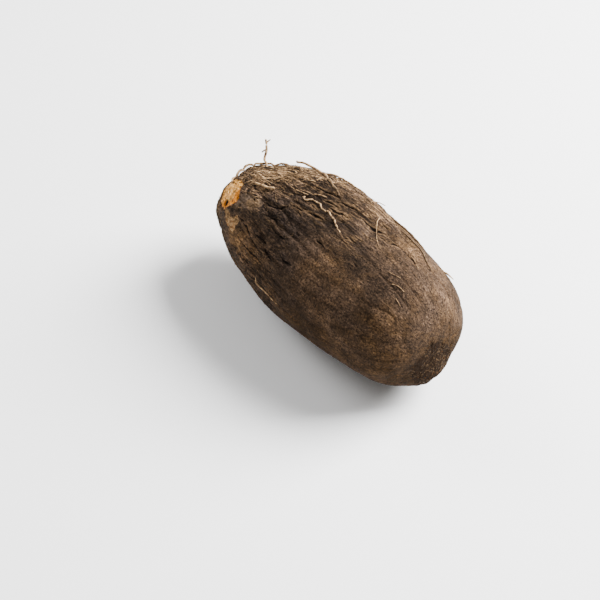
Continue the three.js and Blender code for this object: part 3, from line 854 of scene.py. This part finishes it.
class Shader:
    """One material and its nodes."""

    def __init__(self, name):
        self.material = bpy.data.materials.new(name)
        self.material.use_nodes = True
        self.tree = self.material.node_tree
        self.tree.nodes.clear()

    def node(self, kind, settings=None, inputs=None, output=0):
        """Adds a node, sets its settings first, then gives each socket a value or a link."""
        made = self.tree.nodes.new(kind)
        for key, value in (settings or {}).items():
            setattr(made, key, value)
        for key, value in (inputs or {}).items():
            if isinstance(value, Value):
                self.tree.links.new(value.socket, made.inputs[key])
            else:
                colour = made.inputs[key].type == "RGBA"
                made.inputs[key].default_value = (*value, 1) if colour else value
        return Value(self, made.outputs[output])

    def fact(self, name, output="Fac"):
        """An attribute of the mesh."""
        return self.node("ShaderNodeAttribute", {"attribute_name": name}, output=output)

    def place(self):
        """The place on the object in millimetres."""
        return self.scaled(self.node("ShaderNodeTexCoord", output="Object"), (1000, 1000, 1000))

    def vectors(self, operation, first, second):
        """A Math node on two vectors or colours."""
        return self.node("ShaderNodeVectorMath", {"operation": operation}, {0: first, 1: second})

    def scaled(self, vector, scale):
        """A vector or colour times three numbers or one value."""
        if isinstance(scale, Value):
            scale = self.node("ShaderNodeCombineXYZ", {}, {0: scale, 1: scale, 2: scale})
        return self.vectors("MULTIPLY", vector, scale)

    def cloud(self, vector, sizes, detail=3, rough=0.55):
        """Noise from -0.5 to 0.5, whose spots have the given sizes in the units of the vector."""
        inputs = {"Vector": self.scaled(vector, [1 / s for s in sizes])}
        inputs = {**inputs, "Scale": 1, "Detail": detail, "Roughness": rough}
        return self.node("ShaderNodeTexNoise", {}, inputs) - 0.5

    def cells(self, vector, sizes, feature):
        """Distance from the middle (F1) or from the edge of cells of the given sizes, in parts of a cell."""
        inputs = {"Vector": self.scaled(vector, [1 / s for s in sizes]), "Scale": 1}
        return self.node("ShaderNodeTexVoronoi", {"feature": feature}, inputs, output="Distance")

    def shifted(self, vector, size, reach):
        """A vector moved this way and that by noise of one size."""
        inputs = {"Vector": self.scaled(vector, [1 / size] * 3), "Scale": 1, "Detail": 2}
        moved = self.node("ShaderNodeTexNoise", {}, inputs, output="Color")
        moved = self.scaled(self.vectors("SUBTRACT", moved, (0.5, 0.5, 0.5)), [reach] * 3)
        return self.vectors("ADD", vector, moved)

    def mix(self, share, a, b):
        """Colour a where share is 0 and b where it is 1."""
        return self.node("ShaderNodeMix", {"data_type": "RGBA"}, {0: share, 6: a, 7: b}, output=2)

    def toned(self, base, amount):
        """A colour times 2.718 to the power of an amount: lighter where it is positive, else darker."""
        return self.scaled(base, amount.math("POWER", 2.718, amount))

    def finish(self, piece, **surface):
        """Ends the graph in one Principled shader and gives the material to a piece."""
        inputs = {key.replace("_", " "): value for key, value in surface.items()}
        made = self.node("ShaderNodeBsdfPrincipled", {}, inputs)
        out = self.tree.nodes.new("ShaderNodeOutputMaterial")
        self.tree.links.new(made.socket, out.inputs["Surface"])
        piece.data.materials.append(self.material)


# %% [markdown]
# ## Bark colours
# Fresh bark is never one brown. Soft patches make it lighter or darker, and those
# on the foot's underside are painted shade. Pits cover all of it, splits, cracks,
# gaps and holes are painted near black inside as painted shade, furrows dark the
# same way, and torn strips are pale as straw.
# Patterns that only lighten or darken are added up in an exponent, from patches
# a thumb wide down to fine grain. Those with a colour of their own lie over it.

# %% Bark material
bark = Shader("bark_skin")
spot = bark.place()
unrolled = bark.fact("bark_place", "Vector")
torn, scaly, fine, split, lip, furrow = map(bark.fact, "torn scaly fine split lip furrow".split())
tone, warmth, straw, hole, across, beside = map(bark.fact, "tone warmth straw hole across beside".split())
scar, edge, flake, wedge, soil = map(bark.fact, "scar edge flake wedge soil".split())

# Near black and dark are also laid into splits, cracks, gaps, furrows and holes as painted shade.
BLACK, DARK = (0.006, 0.004, 0.003), (0.011, 0.007, 0.0045)
GREY, BROWN, RUST = (0.038, 0.0255, 0.019), (0.04, 0.0245, 0.0152), (0.054, 0.029, 0.0115)
STRAW, CREAM, GOLD = (0.45, 0.265, 0.125), (0.9, 0.54, 0.2), (0.62, 0.28, 0.055)
ORANGE, FLAME = (0.66, 0.22, 0.02), (0.13, 0.035, 0.008)
OCHRE, BEIGE, TAN = (0.17, 0.07, 0.02), (0.1, 0.067, 0.045), (0.17, 0.105, 0.055)
# The second colour on the next line is the soil's dark, partly painted shade.
WEDGE_TAN, SOIL_AND_SHADE_UMBER = (0.28, 0.165, 0.075), (0.017, 0.0085, 0.0035)

broad = bark.cloud(spot, (34, 26, 26))
mottle = bark.cloud(spot, (11, 8, 8), 5, 0.68)
felt = bark.cloud(unrolled, (2.2, 1.2, 1.2), 3, 0.7)
grain = bark.cloud(spot, (1.3, 1.3, 1.3), 2, 0.6)
threads = bark.cloud(unrolled, (7, 0.9, 0.9), 3, 0.65)
strips = bark.cloud(unrolled, (20, 2, 2), 4, 0.65)
hue = bark.cloud(bark.scaled(spot, (1, 1, -1)), (16, 12, 12), 4, 0.65)
curls = bark.cloud(spot, (3.4, 3.4, 3.4), 1, 0.4)
specks = bark.cloud(spot, (1.7, 1.7, 1.7), 2, 0.6)
wobble = bark.cloud(spot, (4, 3, 3), 4, 0.75)
streaks = bark.cloud(spot, (4, 2.2, 2.2), 4, 0.75)
plate_edge = bark.cells(bark.shifted(unrolled, 6, 6), (12, 4, 4), "DISTANCE_TO_EDGE")
dots = bark.cells(spot, (2.7, 2.7, 2.7), "F1")
ruffled = wobble * 5
plates = (plate_edge.step(0, 0.25) - 0.6) * scaly

# %% Masks, 0 to 1
straw_mask = (strips * 1.1 + threads * 0.8 + 0.3 * straw + 0.08 * torn + 0.12 * lip).step(0.14, 0.46)
# Gaps between the scales, laid over near black below: painted shade in the gaps.
gaps = (mottle * 0.12 + 0.05 - plate_edge).step(0, 0.04) * scaly * (broad + mottle).step(-0.1, 0.05)
pits = (0 - felt).step(0.08, 0.22)
pocks = (0.3 - dots).step(0, 0.16) * (felt + mottle).step(-0.12, 0.05)
curl = (curls.step(-0.03, 0) * (0 - curls).step(-0.03, 0)) * (mottle + 0.5).step(0.45, 0.6) * fine
# A line along each measured crack, laid over near black below: painted shade in the crack.
crack_line = (0.85 - (across + felt * 1.6 + mottle).size()).step(0, 0.45) * beside
# Caked soil on the foot, whose dark colour is partly painted shade.
soil_crust_and_shade = (soil + ruffled).step(-0.4, 1.2)
flecks = (grain + felt * 0.5).step(0.03, 0.14) * soil_crust_and_shade * (mottle + broad * 0.5).step(-0.09, 0.03)
crumbs = (wobble + specks * 0.5).step(0.1, 0.2) * soil_crust_and_shade
peel, under = (flake + ruffled).step(-0.25, 0.25), (wedge + ruffled).step(-0.25, 0.25)
bare = (scar + ruffled).step(-0.3, 0.3)
rim = (scar + ruffled * 0.7).step(-2.2, -0.4) * (1 - bare)

# %% Colours of the plain bark and of each patch
warm = hue * 2 + warmth * 0.8 + 0.3 * fine
uneven = broad * 2.4 + mottle * (2.2 + 0.5 * fine) + felt * (2.8 - 1.2 * fine) + grain * 2.8
streaky = threads * (3.4 - 2.7 * fine) + strips * torn * 7
plain = bark.mix(warm.step(0.1, 1.1) * 0.85, bark.mix(warm.step(-0.7, 0.2), GREY, BROWN), RUST)
plain = bark.toned(plain, tone * 1.1 + uneven + streaky + plates * 0.7 + 0.2 * fine)
crumb_colour = bark.mix(hue.step(-0.1, 0.05), GREY, OCHRE)
peel_colour = bark.toned(bark.mix(hue.step(-0.05, 0.1), BEIGE, TAN), felt * 2 + grain * 2.5)
under_colour = bark.mix(wobble.step(0.02, 0.12), WEDGE_TAN, OCHRE)
under_colour = bark.toned(under_colour, threads * 4 + grain * 3 + mottle * 3)
flesh = bark.mix(streaks.step(-0.02, 0.14), GOLD, CREAM)
flesh = bark.mix((edge + streaks * 1.5 + grain).step(0.35, 0.75), flesh, ORANGE)
flesh = bark.toned(flesh, grain * 3 + wobble * 3)
flesh = bark.mix((0 - streaks - grain * 0.6).step(0.06, 0.15) * 0.85, flesh, FLAME)
rim_colour = bark.mix((felt + grain).step(-0.05, 0.1), DARK, OCHRE)

# %% Layers over the plain bark, from the lowest up
skin_colour = plain
for share, over in (
    (straw_mask * (0.06 + 0.55 * torn + 0.5 * straw), STRAW), (lip * 0.3, STRAW),
    # Near black in gaps, splits and cracks, and dark in furrows, is painted shade in their hollows.
    (gaps * 0.75, BLACK), (pits * 0.6, DARK), ((0 - specks).step(0.05, 0.15) * (0.2 + 0.5 * fine), DARK),
    (pocks * 0.5, DARK), (curl * 0.5, DARK), (furrow.step(0.3, 1) * (0.15 + 0.35 * torn), DARK),
    (split.step(0.05, 0.7) * 0.94, BLACK), (crack_line * 0.92, BLACK),
    # The soil's dark on the next line is partly painted shade on the foot's lower end.
    (soil_crust_and_shade * (0.95 + specks * 3), SOIL_AND_SHADE_UMBER), (flecks * 0.5, TAN), (crumbs * 0.7, crumb_colour),
    # Near black in the holes is painted shade in the pits; the blots that share it are the skin's own dark
    # marks.
    (peel, peel_colour), (under, under_colour), (bare, flesh), (rim * 0.45, rim_colour), (hole, BLACK),
):
    skin_colour = bark.mix(share, skin_colour, over)
height = 0.6 * grain + 0.9 * felt + threads * (0.9 - 0.6 * fine) + 1.2 * strips * torn
height = height + 0.4 * mottle - 0.4 * pits - 0.5 * pocks - 0.8 * gaps + 0.5 * plates - crack_line
height = height + soil_crust_and_shade * (specks * 3 + flecks * 0.5)
bump = bark.node("ShaderNodeBump", {}, {"Strength": 1, "Distance": 0.0012, "Height": height})
rough = 0.93 - 0.1 * bare
bark.finish(yam_skin, Base_Color=skin_colour, Roughness=rough, Normal=bump, Specular_IOR_Level=0.06)

# %% [markdown]
# ## Rootlet colour
# Rootlets and fibres are dry and pale, with darker bands, and each carries its
# own tone. One recipe makes a material for either.

# %% Rootlet material
for piece, name in ((rootlets, "dry_rootlet"), (fibres, "torn_fibre")):
    dry = Shader(name)
    bands = dry.cloud(dry.place(), (2.2, 2.2, 2.2), 3, 0.6)
    pale = dry.mix(bands.step(-0.15, 0.15), (0.11, 0.062, 0.033), (0.46, 0.29, 0.145))
    pale = dry.mix(dry.fact("tone").step(0, 1), (0.03, 0.019, 0.012), pale)
    knobs = dry.node("ShaderNodeBump", {}, {"Strength": 0.4, "Distance": 0.0003, "Height": bands})
    dry.finish(piece, Base_Color=pale, Roughness=0.85, Normal=knobs, Specular_IOR_Level=0.08)

# %% [markdown]
# ## Fix the pieces to the solid model
# All three pieces belong to the one tuber, so they ride on its body, and the
# fine skin is shown in place of the plain solid.

# %% Ride and replace
for piece in (yam_skin, rootlets, fibres):
    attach(piece, "root")
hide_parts("tuber")

# %% [markdown]
# ## Floor, light and camera
# One large soft light from the right and slightly behind, weak light from the far
# left, and a pale sky. A long lens from far off doesn't distort the shape.

# %% Floor
FLOOR_HALF, FLOOR_Z = 6, -0.0002
floor_mesh = bpy.data.meshes.new("floor")
corners = [(x * FLOOR_HALF, y * FLOOR_HALF, FLOOR_Z) for x, y in ((-1, -1), (1, -1), (1, 1), (-1, 1))]
floor_mesh.from_pydata(corners, [], [(0, 1, 2, 3)])
floor = add("floor", floor_mesh)
paper = Shader("paper")
paper.finish(floor, Base_Color=(0.92, 0.92, 0.92), Roughness=0.9, Specular_IOR_Level=0.1)

# %% Camera
AZIMUTH, ELEVATION, DISTANCE, LENS = math.radians(52.17), math.radians(42), 1.1558, 100
SENSOR, PIXELS, OFF_CENTRE = 36, 600, (24.2, 42.4)
near = np.array([math.sin(AZIMUTH), -math.cos(AZIMUTH), 0.0])
back = near * math.cos(ELEVATION) + np.array([0.0, 0.0, math.sin(ELEVATION)])
right = np.array([math.cos(AZIMUTH), math.sin(AZIMUTH), 0.0])
above = np.cross(back, right)
pixel = DISTANCE * SENSOR / LENS / PIXELS
look_at = MOVE / 1000 - OFF_CENTRE[0] * pixel * right - OFF_CENTRE[1] * pixel * above
camera = add("camera", bpy.data.cameras.new("camera"))
camera.data.lens = LENS
camera.location = look_at + back * DISTANCE
camera.rotation_euler = (math.pi / 2 - ELEVATION, 0, AZIMUTH)
bpy.context.scene.camera = camera


# %% Lights
def soft_light(name, direction, distance, size, watts):
    """A square area light that looks at the yam, from a direction given as right, to the camera and up."""
    way = distance * unit(direction) @ np.array([right, near, (0, 0, 1)])
    light = add(name, bpy.data.lights.new(name, "AREA"))
    light.data.size, light.data.energy = size, watts
    light.location = MOVE / 1000 + way
    light.rotation_euler = (math.atan2(math.hypot(way[0], way[1]), way[2]), 0, math.atan2(way[0], -way[1]))


soft_light("key", (0.78, -0.24, 0.66), 1.6, 1.1, 190)
soft_light("far_left", (-0.75, -0.55, 0.55), 1.8, 0.8, 26)
world = bpy.data.worlds.new("studio")
world.use_nodes = True
sky = world.node_tree.nodes["Background"].inputs
sky["Color"].default_value = (1, 1, 1, 1)
sky["Strength"].default_value = 0.42
bpy.context.scene.world = world
